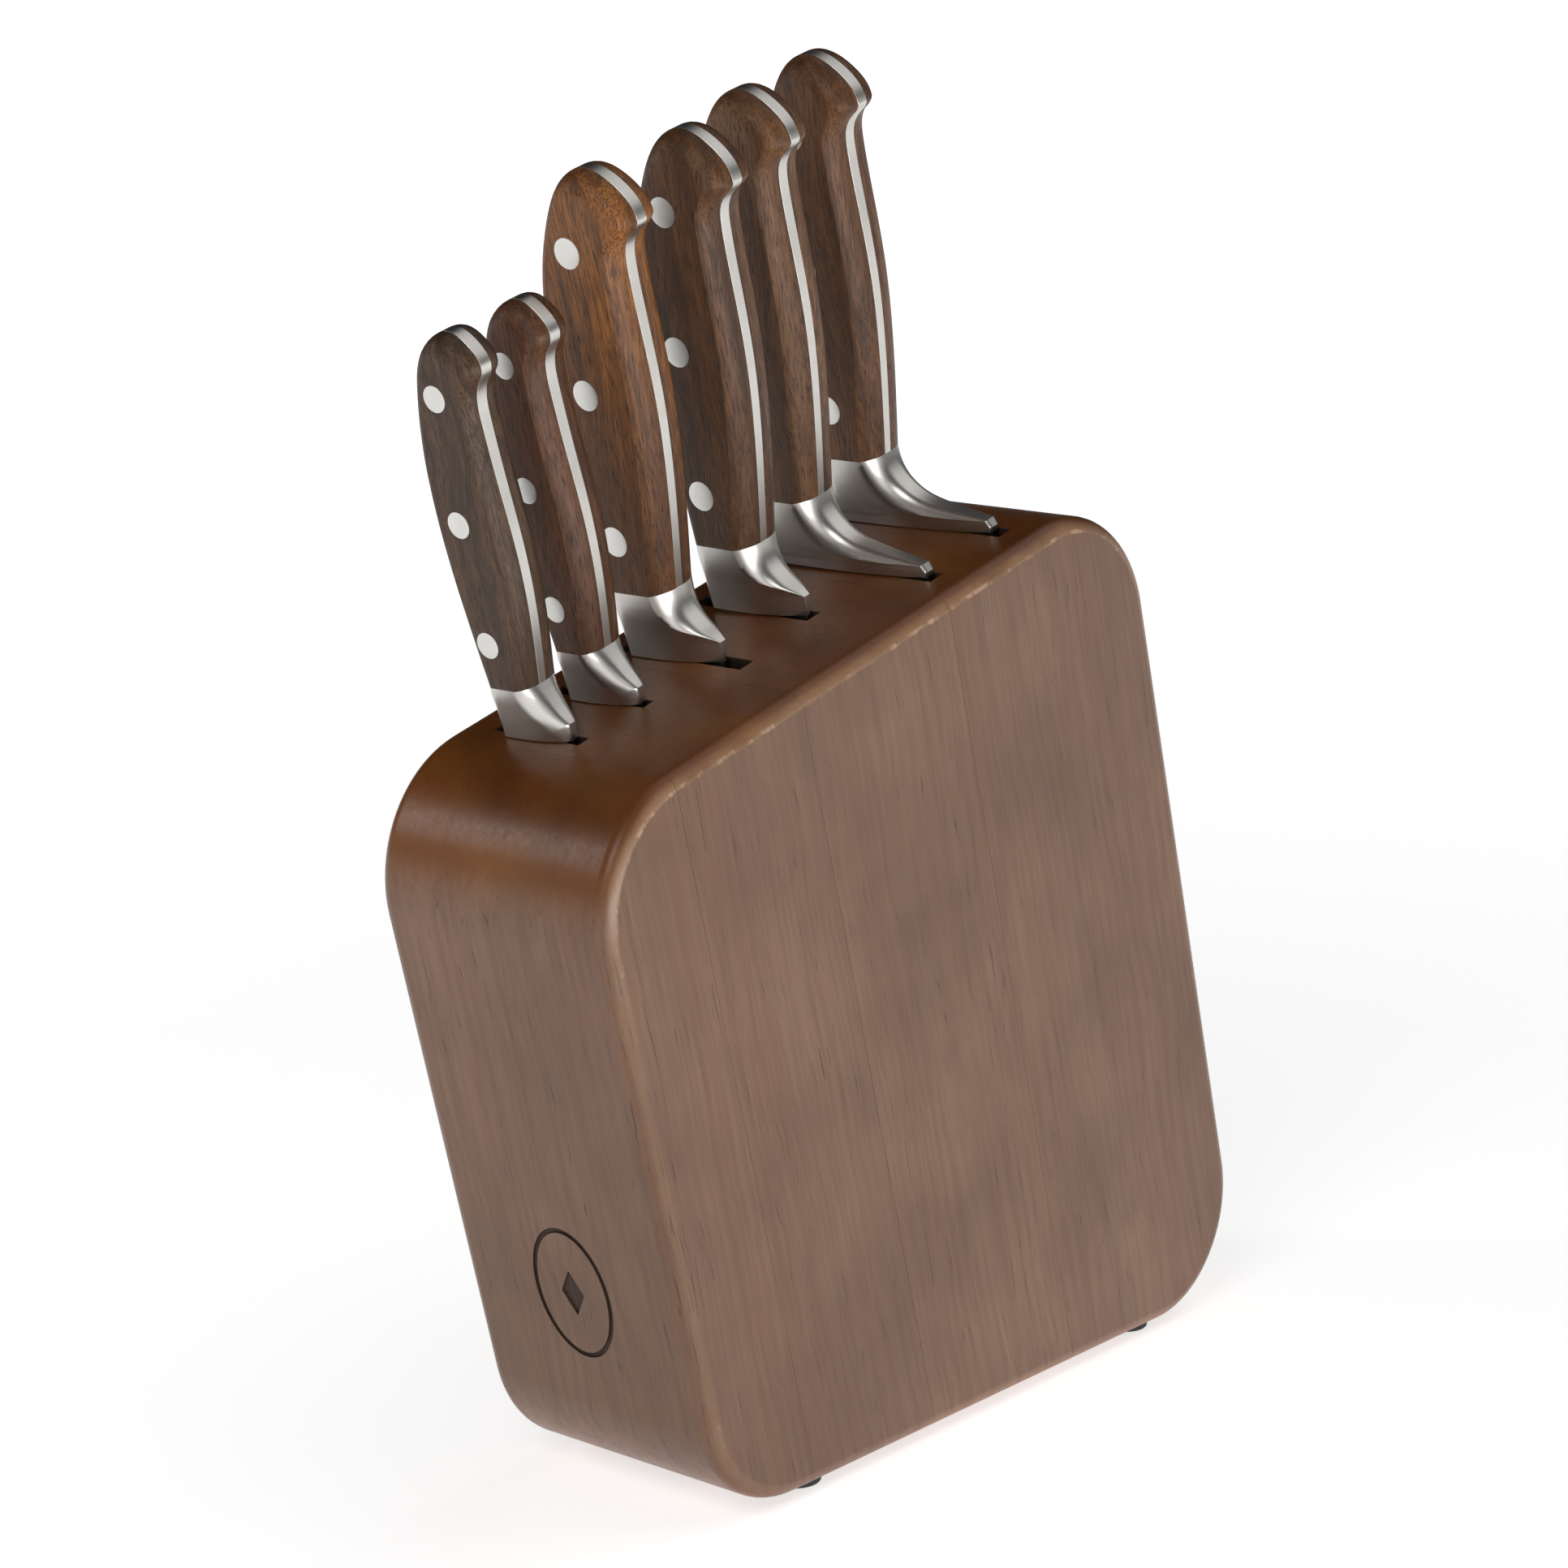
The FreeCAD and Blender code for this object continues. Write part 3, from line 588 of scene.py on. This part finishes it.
# bolster rows from the neck down: spine x, z, half thickness, rounding; ridge x, z, half
# thickness; nose x, z; how far round the crown reaches, in degrees; half width of the nose
bolsters = {
    "small": [
        (-22.7, 15.5, 7.6, 3.4, -11.6, 15.5, 7.6, -8.4, 15.5, 66, 1.35),
        (-22.7, 12.6, 7.1, 2.8, -11.3, 12.2, 6.9, -6.9, 13.0, 62, 1.35),
        (-22.6, 10.0, 6.5, 2.5, -10.0, 9.4, 6.1, -5.2, 10.4, 58, 1.3),
        (-22.6, 7.6, 6.0, 2.2, -8.4, 7.0, 5.4, -3.5, 8.0, 54, 1.2),
        (-22.6, 5.4, 5.6, 1.9, -6.8, 4.8, 4.6, -2.0, 6.2, 52, 1.0),
        (-22.5, 3.6, 5.3, 1.7, -5.4, 3.0, 3.9, -1.0, 4.9, 50, 0.8),
        (-22.5, 2.0, 5.1, 1.5, -4.4, 1.6, 3.3, -0.9, 2.4, 48, 0.6),
        (-22.5, 0.3, 4.9, 1.4, -3.6, 0.3, 2.8, -1.1, 0.3, 48, 0.4)],
    "narrow": [
        (-24.8, 20.5, 8.8, 4.2, -8.7, 20.5, 8.8, -5.0, 20.5, 66, 1.35),
        (-24.65, 16.5, 8.2, 3.4, -8.0, 16.4, 8.1, -4.3, 16.9, 62, 1.4),
        (-24.5, 13.0, 7.5, 3.0, -6.8, 13.2, 7.2, -2.6, 13.6, 58, 1.45),
        (-24.4, 10.0, 6.8, 2.6, -4.4, 10.9, 6.1, -0.2, 11.0, 54, 1.5),
        (-24.3, 7.4, 6.3, 2.3, -0.8, 9.3, 4.7, 2.2, 9.1, 50, 1.5),
        (-24.2, 5.2, 5.9, 2.0, 3.0, 7.8, 3.0, 4.6, 7.6, 45, 1.3),
        (-24.15, 3.5, 5.6, 1.8, 6.1, 6.3, 1.35, 6.7, 6.1, 40, 1.0),
        (-24.1, 1.9, 5.35, 1.6, 6.3, 3.2, 0.85, 6.6, 3.2, 40, 0.6),
        (-24.0, 0.3, 5.1, 1.5, 6.2, 0.3, 0.45, 6.4, 0.3, 40, 0.3)],
    "wide": [
        (-24.8, 20.5, 8.8, 4.2, -8.7, 20.5, 8.8, -5.0, 20.5, 66, 1.35),
        (-24.7, 17.0, 8.2, 3.4, -8.2, 17.0, 8.0, -3.8, 17.2, 62, 1.4),
        (-24.55, 13.6, 7.6, 3.0, -7.0, 12.8, 7.1, -1.2, 13.4, 56, 1.5),
        (-24.4, 10.6, 7.0, 2.6, -4.4, 9.0, 6.4, 3.0, 9.9, 50, 1.6),
        (-24.3, 8.0, 6.5, 2.3, 0.4, 5.9, 5.7, 8.0, 7.7, 46, 1.7),
        (-24.2, 5.8, 6.1, 2.0, 8.9, 4.4, 4.7, 14.0, 6.3, 42, 1.7),
        (-24.15, 4.0, 5.8, 1.8, 18.1, 3.9, 3.6, 21.0, 5.1, 40, 1.4),
        (-24.1, 2.6, 5.5, 1.7, 27.3, 3.7, 2.1, 27.9, 4.0, 40, 1.0),
        (-24.05, 1.4, 5.3, 1.6, 28.5, 2.0, 1.9, 29.1, 1.9, 50, 0.8),
        (-24.0, 0.3, 5.1, 1.5, 28.2, 0.3, 1.8, 28.7, 0.3, 50, 0.7)],
}
# the row at the bolster's toe, where its end face begins
cornerRow = {"small": 5, "narrow": 6, "wide": 7}

# slot, handle, bolster, handle shift in x, tilt in the slot, blade length, spine, heel, tip height
knives = {
    "paring": (0, "small", "small", 0, 0, 90, -22.5, -1.1, 0.75),
    "utility": (1, "small", "small", 1.6, 0, 130, -21.5, 1.6, 0.75),
    "carving": (2, "large", "narrow", 0, 0, 203, -24.4, 6.4, 0.8),
    "bread": (3, "large", "narrow", 2.7, 1.2, 203, -21.4, 9.6, 0.6),
    "santoku": (4, "large", "wide", -2.4, 0.6, 180, -26.4, 26.6, 0.25),
    "chef": (5, "large", "wide", -3.5, 0, 203, -27.4, 25.2, 0.7),
}


def knifePlace(slot, tilt, heel):
    # along the top face to its slot, tipped about the heel
    pivot = Vector((heel, 0, tang["seatGap"])) * mm
    return (topFrame @ Matrix.Translation((0, block["slots"][slot][0] * mm, 0)) @ Matrix.Translation(pivot)
            @ Matrix.Rotation(math.radians(tilt), 4, "Y") @ Matrix.Translation(-pivot))


def handleOutline(handle, shift):
    # up the spine, round the butt to the beak and down the belly to the neck
    step = 1.5
    up = smoothLine(handle["spine"], step)
    down = smoothLine(handle["belly"], step)
    tip = up[-1]
    up = up[np.linalg.norm(up - tip, axis=1) > tang["beakRound"]]
    down = down[np.linalg.norm(down - tip, axis=1) > tang["beakRound"]]
    bend = [(1 - k) ** 2 * up[-1] + 2 * k * (1 - k) * tip + k ** 2 * down[0] for k in (0.2, 0.4, 0.6, 0.8)]
    line = np.vstack([up, bend, down])
    line[:, 0] += shift
    return line, len(up)


def outwardNormals(line):
    ahead = np.gradient(line, axis=0)
    ahead /= np.linalg.norm(ahead, axis=1)[:, None]
    normals = np.stack([-ahead[:, 1], ahead[:, 0]], axis=1)
    normals[0] = (-1, 0)
    normals[-1] = (1, 0)
    return normals


def tangHalf(z, line):
    share = np.clip((z - line[0, 1]) / (line[:, 1].max() - line[0, 1]), 0, 1)
    return tang["neckHalf"] + (tang["buttHalf"] - tang["neckHalf"]) * share


def roundings(line, beak, handle):
    # width of the round-over and its crease angle at every point of the outline
    walked = np.concatenate([[0], np.cumsum(np.linalg.norm(np.diff(line, axis=0), axis=1))])
    top = np.argmax(line[:, 1])
    stops = [walked[0], walked[top] - 40, walked[top] - 8, walked[beak], walked[beak] + 7, walked[-1]]
    widths = np.interp(walked, stops, [handle["spineRound"], handle["spineRound"], handle["buttRound"],
                                       handle["beakRound"], handle["fluteRound"], handle["bellyRound"]])
    angles = np.interp(walked, stops, [tang["spineCrease"]] * 3 + [80] + [tang["bellyCrease"]] * 2)
    return widths, np.radians(angles)


def distanceTo(line, points):
    # how far each point lies from the outline, and the outline point it is nearest to
    start, end = line[:-1], line[1:]
    along = end - start
    offset = points[:, None, :] - start[None]
    share = np.clip((offset * along).sum(2) / (along ** 2).sum(1), 0, 1)
    gap = np.linalg.norm(offset - share[..., None] * along, axis=2)
    nearest = gap.argmin(1)
    return gap.min(1), nearest + (share[np.arange(len(points)), nearest] > 0.5)


def makeScale(line, beak, handle, side):
    # a pillow: its height over the tang depends on how far each point is from the outline
    normals = outwardNormals(line)
    widths, creases = roundings(line, beak, handle)
    count, steps = len(line), 9
    inside = []
    for k in range(1, steps + 1):
        share = (1 - np.cos(creases * k / steps)) / (1 - np.cos(creases))
        ring = line - normals * (widths * share)[:, None]
        gap, nearest = distanceTo(line, ring)
        inside.append(ring[gap > widths * share - 0.04])
    # fill in where the rings run into each other, in the beak
    inside = np.vstack(inside)
    high = line[:, 1].max()
    filler = np.array([(x, z) for x in np.arange(line[:, 0].min(), line[:, 0].max(), 1.1)
                       for z in np.arange(high - 30, high, 1.1)])
    gap, nearest = distanceTo(line, filler)
    clear = np.linalg.norm(filler[:, None] - np.vstack([inside, line])[None], axis=2).min(1) > 0.7
    filler = filler[clear & (gap < widths[nearest])]
    points = np.vstack([line, inside, filler])
    edges = [(k, (k + 1) % count) for k in range(count)]
    flatVerts, _, faces = delaunay_2d_cdt([Vector(p) for p in points], edges, [], 1, 1e-5)[:3]
    spots = np.array([tuple(v) for v in flatVerts])
    gap, nearest = distanceTo(line, spots)
    gap[gap < 0.002] = 0
    crease = creases[nearest]
    share = np.clip(gap / widths[nearest], 0, 1)
    turn = np.arccos(1 - share * (1 - np.cos(crease)))
    base = tangHalf(spots[:, 1], line)
    rise = base + (handle["half"] - base) * np.sin(turn) / np.sin(crease)
    verts = [(x, side * y, z) for (x, z), y in zip(spots, rise)]
    inner = len(verts)
    verts += [(x, side * tangHalf(z, line), z) for x, z in line]
    faces = [tuple(face) for face in faces] + [tuple(range(inner, inner + count))]
    neck = [k for k in range(inner) if abs(spots[k][1] - line[0, 1]) < 0.001]
    faces.append(tuple(sorted(neck, key=lambda k: spots[k][0])))
    return meshFrom("scale", verts, faces)


def makeTang(line):
    # the steel that shows as a strip between the scales, its edges just broken
    normals = outwardNormals(line)
    edge = tang["edge"]
    verts = []
    for inset, side, less in ((edge, -1, 0), (0, -1, edge), (0, 1, edge), (edge, 1, 0)):
        verts += [(x, side * (tangHalf(z, line) - less), z) for x, z in line - normals * inset]
    count = len(line)
    faces = gridFaces(4, count)
    faces.append(tuple(range(count)))
    faces.append(tuple(range(3 * count, 4 * count)))
    faces.append((0, count, 2 * count, 3 * count, 4 * count - 1, 3 * count - 1, 2 * count - 1, count - 1))
    return meshFrom("tang", verts, faces)


def bolsterRows(kind, shift, heel):
    # more rows between the drawn ones: smooth down to the toe, straight down its end face
    rows = np.array(bolsters[kind], float)
    corner = cornerRow[kind]
    extra = 4
    fine = []
    knots = np.arange(corner + 1)
    system = np.eye(corner + 1)
    pull = np.zeros((corner + 1, rows.shape[1]))
    for i in range(1, corner):
        system[i, i - 1:i + 2] = 1, 4, 1
        pull[i] = 6 * (rows[i + 1] - 2 * rows[i] + rows[i - 1])
    bend = np.linalg.solve(system, pull)
    for i in knots[:-1]:
        for k in range(extra):
            b = k / extra
            a = 1 - b
            curved = ((a ** 3 - a) * bend[i] + (b ** 3 - b) * bend[i + 1]) / 6
            fine.append(a * rows[i] + b * rows[i + 1] + curved)
    for i in range(corner, len(rows) - 1):
        for k in range(3):
            fine.append(rows[i] + (rows[i + 1] - rows[i]) * k / 3)
    fine.append(rows[-1])
    fine = np.array(fine)
    # the toe of this knife may lie a little further out than the drawn one
    neckBelly, toe = rows[0][7], rows[-1][7]
    stretch = heel - shift - toe
    for column in (4, 7):
        share = np.clip((fine[:, column] - neckBelly) / (toe - neckBelly), 0, 1)
        fine[:, column] += stretch * share
    fine[:, [0, 4, 7]] += shift
    return fine


def makeBolster(kind, shift, heel):
    verts = []
    rows = bolsterRows(kind, shift, heel)
    crown, flat, roundSteps = 9, 8, 5
    for number, (sx, sz, sy, sr, rx, rz, ry, nx, nz, reach, half) in enumerate(rows):
        spine, ridge, nose = Vector((sx, sz)), Vector((rx, rz)), Vector((nx, nz))
        toRidge = ridge - spine
        length = toRidge.length
        base = tang["neckHalf"]
        side = [(spine, 0.0), (spine, base)]
        for k in range(1, roundSteps + 1):
            angle = math.pi / 2 * k / roundSteps
            inward = sr * (1 - math.cos(angle)) / length
            side.append((spine + toRidge * inward, base + (sy - base) * math.sin(angle)))
        share = sr / length
        # towards the block the sides stay full and turn in late
        late = 1 + 2 * number / len(rows)
        for k in range(1, flat + 1):
            f = k / flat
            side.append((spine + toRidge * (share + (1 - share) * f), sy + (ry - sy) * f ** late))
        crease = math.radians(reach)
        for k in range(crown - 1, -1, -1):
            angle = crease * k / crown
            f = 1 - (1 - math.cos(angle)) / (1 - math.cos(crease))
            y = half + (ry - half) * math.sin(angle) / math.sin(crease)
            side.append((ridge + (nose - ridge) * f, y))
        side.append((nose, 0.0))
        loop = [(p.x, y, p.y) for p, y in side] + [(p.x, -y, p.y) for p, y in reversed(side[1:-1])]
        verts += loop
    columns = len(verts) // len(rows)
    faces = gridFaces(len(rows), columns, closed=True)
    faces.append(tuple(range(columns)))
    faces.append(tuple(range((len(rows) - 1) * columns, len(rows) * columns)))
    return meshFrom("bolster", verts, faces)


scallops = {"depth": 1.3, "pitch": 8.5, "start": -12}


def makeBlade(name, length, back, heel, tipHeight):
    # a flat-ground wedge below the bolster
    width = heel - back
    tip = (heel - tipHeight * width, -length)
    edge = smoothLine([(heel - 0.6, tang["seatGap"]), (heel - 0.02 * width, -0.4 * length),
                       (heel - (0.06 + 0.14 * tipHeight) * width, -0.75 * length), tip], 1.5)
    spine = smoothLine([(back, tang["seatGap"]), (back + 0.3, -0.45 * length),
                        (back + (1 - tipHeight) * 0.35 * width, -0.86 * length), tip], 1.5)
    levels = np.linspace(tang["seatGap"], -length + 0.4, 150)
    edgeX = np.interp(-levels, -edge[:, 1], edge[:, 0])
    spineX = np.interp(-levels, -spine[:, 1], spine[:, 0])
    if name == "bread":
        waves = np.abs(np.sin(levels * math.pi / scallops["pitch"]))
        edgeX -= scallops["depth"] * waves * (levels < scallops["start"])
    verts = []
    for z, left, right in zip(levels, spineX, edgeX):
        taper = 1 - 0.6 * (z / length) ** 2
        side = [(left, 0.8), (left + 0.3, 1.1), (left + 0.45 * (right - left), 0.75), (right - 1.2, 0.3),
                (right, 0.05)]
        verts += [(x, y * taper, z) for x, y in side]
        verts += [(x, -y * taper, z) for x, y in reversed(side)]
    columns = len(verts) // len(levels)
    faces = gridFaces(len(levels), columns, closed=True)
    faces.append(tuple(range(columns)))
    faces.append(tuple(range((len(levels) - 1) * columns, len(levels) * columns)))
    return meshFrom("blade", verts, faces)


def turned(profile, centre, axis, steps=40):
    # a lathe-turned solid: radius and height pairs about a centre
    verts = []
    for radius, height in profile:
        for k in range(steps):
            angle = 2 * math.pi * k / steps
            flatPoint = (radius * math.cos(angle), radius * math.sin(angle))
            if axis == "y":
                verts.append((centre[0] + flatPoint[0], height, centre[2] + flatPoint[1]))
            else:
                verts.append((centre[0] + flatPoint[0], centre[1] + flatPoint[1], height))
    faces = gridFaces(len(profile), steps, closed=True)
    faces.append(tuple(range(steps)))
    faces.append(tuple(range((len(profile) - 1) * steps, len(profile) * steps)))
    return meshFrom("turned", verts, faces)


def makeRivets(handle, shift):
    discs = []
    radius, face = handle["rivetRadius"], handle["half"]
    for x, z in handle["rivets"]:
        for side in (-1, 1):
            profile = [(radius, side * (face - 1)), (radius, side * (face - 0.02)),
                       (radius - 0.15, side * (face + 0.04)), (radius * 0.6, side * (face + 0.08)),
                       (radius * 0.2, side * (face + 0.1))]
            discs.append(turned(profile, (x + shift, 0, z), "y"))
    return joinMeshes("rivets", discs)


steelLooks = {
    "knifeSteel": {"light": rgb("cfccc7"), "dark": rgb("bdb9b3"), "direction": (0.12, 1.0, 1.0),
                   "scratchScale": 3600.0, "roughness": (0.31, 0.36)},
    "rivetSteel": {"light": rgb("d4d3cf"), "dark": rgb("c2c0bb"), "direction": (1.0, 1.0, 0.3),
                   "scratchScale": 3000.0, "roughness": (0.33, 0.42)},
}
knifeSteel = makeSteel("knifeSteel", steelLooks["knifeSteel"])
rivetSteel = makeSteel("rivetSteel", steelLooks["rivetSteel"])

# dark and light heartwood, streaks, how wavy and close its rings are and how strongly they
# show, and how much darker it is made towards the bolster
handleLooks = {
    "paring": {"dark": rgb("3c2b1d"), "light": rgb("5c4431"), "deep": rgb("2b1d15"), "wander": 0.016,
               "rings": 60.0, "ringTone": 0.55, "darkerTowardBolster": 0.0},
    "utility": {"dark": rgb("472a18"), "light": rgb("69432a"), "deep": rgb("321d12"), "wander": 0.006,
                "rings": 40.0, "ringTone": 0.3, "darkerTowardBolster": 0.1},
    "carving": {"dark": rgb("623e22"), "light": rgb("a06633"), "deep": rgb("352113"), "wander": 0.008,
                "rings": 34.0, "ringTone": 0.45, "darkerTowardBolster": 0.6},
    "bread": {"dark": rgb("432b19"), "light": rgb("6f492b"), "deep": rgb("25170f"), "wander": 0.007,
              "rings": 46.0, "ringTone": 0.4, "darkerTowardBolster": 0.15},
    "santoku": {"dark": rgb("503420"), "light": rgb("7c5636"), "deep": rgb("362214"), "wander": 0.007,
                "rings": 30.0, "ringTone": 0.35, "darkerTowardBolster": 0.2},
    "chef": {"dark": rgb("482e1c"), "light": rgb("795030"), "deep": rgb("2c1b11"), "wander": 0.008,
             "rings": 38.0, "ringTone": 0.4, "darkerTowardBolster": 0.1},
}

for order, (name, row) in enumerate(knives.items()):
    slot, pattern, bolster, shift, tilt, length, back, heel, tipHeight = row
    handle = handles[pattern]
    place = knifePlace(slot, tilt, heel)
    body = name + "_knife"
    look = dict(handleLooks[name], pore=rgb("22150e"), shift=(0.13 * order, 0.37 * order, 0.51 * order))
    wood = makeHandleWood(name + "HandleWood", look)
    line, beak = handleOutline(handle, shift)
    forged = joinMeshes(name + "Forged", [makeTang(line), makeBolster(bolster, shift, heel),
                                          makeBlade(name, length, back, heel, tipHeight)])
    placePiece(name + "ForgedSteel", forged, place, body, knifeSteel, [name + "_blade"])
    for side, label, node in ((-1, "FrontScale", "_front_scale"), (1, "RearScale", "_rear_scale")):
        placePiece(name + label, makeScale(line, beak, handle, side), place, body, wood,
                   [name + node])
    placePiece(name + "Rivets", makeRivets(handle, shift), place, body, rivetSteel,
               [name + "_rivets"])
    print("knife:", name)


footLook = {"radius": 7.5, "height": 2.5, "round": 0.6, "dish": 0.3}
footRubber = makeRubber()
for node in ("front_left_foot", "front_right_foot", "rear_left_foot", "rear_right_foot"):
    low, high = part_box(node)
    centre = (low + high) / 2 / mm
    radius, height, soft = footLook["radius"], footLook["height"], footLook["round"]
    profile = [(radius, height), (radius, soft)]
    for angle in (0.5, 1.0, math.pi / 2):
        profile.append((radius - soft + soft * math.cos(angle), soft - soft * math.sin(angle)))
    profile += [(radius - 2, 0), (radius - 2.5, footLook["dish"]), (0.5, footLook["dish"])]
    words = node.split("_")
    placePiece(words[0] + words[1].title() + "Foot", turned(profile, centre, "z"), Matrix.Identity(4),
               "block", footRubber, [node])
print("feet: four rubber pads")


studio = {
    "camera": (0.66984, -0.82617, 0.42064), "azimuth": 39.85, "elevation": 12.655, "lens": 89.92,
    "floor": (0.9, 0.9, 0.9, 1.0), "floorReach": 30, "floorGlow": 0.66, "floorFarGlow": 1.0,
    "horizon": 0.66, "zenith": 0.03, "leftShare": 0.25, "overhead": 0.9, "overheadFrom": (0.3, 0.42, 0.86),
}
middle = (0, 0, 0.18)
# where each light stands, where it points, its width and height, and its watts
lights = {
    "lowRightSoftbox": ((0.85, -0.15, 0.04), (0.05, 0, 0.03), 0.9, 0.2, 5.5),
    "keySoftbox": ((0.5, -1.45, 1.25), middle, 0.8, 0.8, 8),
    "leftFill": ((-1.2, -1.1, 0.95), middle, 0.5, 0.5, 4),
}


def areaLight(name, position, target, width, height, power):
    data = bpy.data.lights.new(name, "AREA")
    data.shape = "RECTANGLE"
    data.size, data.size_y = width, height
    data.energy = power
    lamp = bpy.data.objects.new(name, data)
    lamp.location = position
    lamp.rotation_euler = (Vector(target) - Vector(position)).to_track_quat("-Z", "Y").to_euler()
    scene.collection.objects.link(lamp)


def makeStudio():
    data = bpy.data.cameras.new("camera")
    data.lens = studio["lens"]
    data.sensor_width = 36
    camera = bpy.data.objects.new("camera", data)
    camera.location = studio["camera"]
    camera.rotation_euler = (math.radians(90 - studio["elevation"]), 0, math.radians(studio["azimuth"]))
    scene.collection.objects.link(camera)
    scene.camera = camera

    mesh = bpy.data.meshes.new("floor")
    reach = studio["floorReach"]
    mesh.from_pydata([(-reach, -reach, 0), (reach, -reach, 0), (reach, reach, 0), (-reach, reach, 0)], [],
                     [(0, 1, 2, 3)])
    floor = bpy.data.objects.new("floor", mesh)
    material, tree, shader = newMaterial("paleFloor")
    shader.inputs["Base Color"].default_value = studio["floor"]
    shader.inputs["Emission Color"].default_value = (1, 1, 1, 1)
    # paper-white further out, so no horizon shows behind the block
    spot = addNode(tree, "NewGeometry").outputs["Position"]
    away = addNode(tree, "VectorMath", {0: spot}, operation="LENGTH").outputs["Value"]
    glow = remap(tree, away, 0.45, 2.2, studio["floorGlow"], studio["floorFarGlow"])
    tree.links.new(glow, shader.inputs["Emission Strength"])
    shader.inputs["Roughness"].default_value = 0.8
    mesh.materials.append(material)
    scene.collection.objects.link(floor)

    world = bpy.data.worlds.new("studio")
    world.use_nodes = True
    tree = world.node_tree
    background = tree.nodes["Background"]
    direction = addNode(tree, "TexCoord").outputs["Generated"]
    parts = addNode(tree, "SeparateXYZ", {0: direction}).outputs
    glow = remap(tree, parts["Z"], -0.05, 0.35, studio["horizon"], studio["zenith"])
    glow = math2(tree, "MULTIPLY", glow, remap(tree, parts["X"], -0.5, 0.4, studio["leftShare"], 1.0))
    toward = addNode(tree, "VectorMath", {0: direction, 1: studio["overheadFrom"]}, operation="DOT_PRODUCT")
    lobe = remap(tree, toward.outputs["Value"], 0.8, 0.95, 0.0, studio["overhead"])
    glow = math2(tree, "ADD", glow, lobe)
    seen = addNode(tree, "LightPath").outputs["Is Camera Ray"]
    strength = addNode(tree, "Mix", {0: seen, 2: glow, 3: 1.0}, data_type="FLOAT").outputs[0]
    tree.links.new(strength, background.inputs["Strength"])
    background.inputs["Color"].default_value = (1, 1, 1, 1)
    scene.world = world

    for name, light in lights.items():
        areaLight(name, *light)
    scene.view_settings.view_transform = "Standard"
    print("studio: camera, floor, world, three soft lights")


makeStudio()
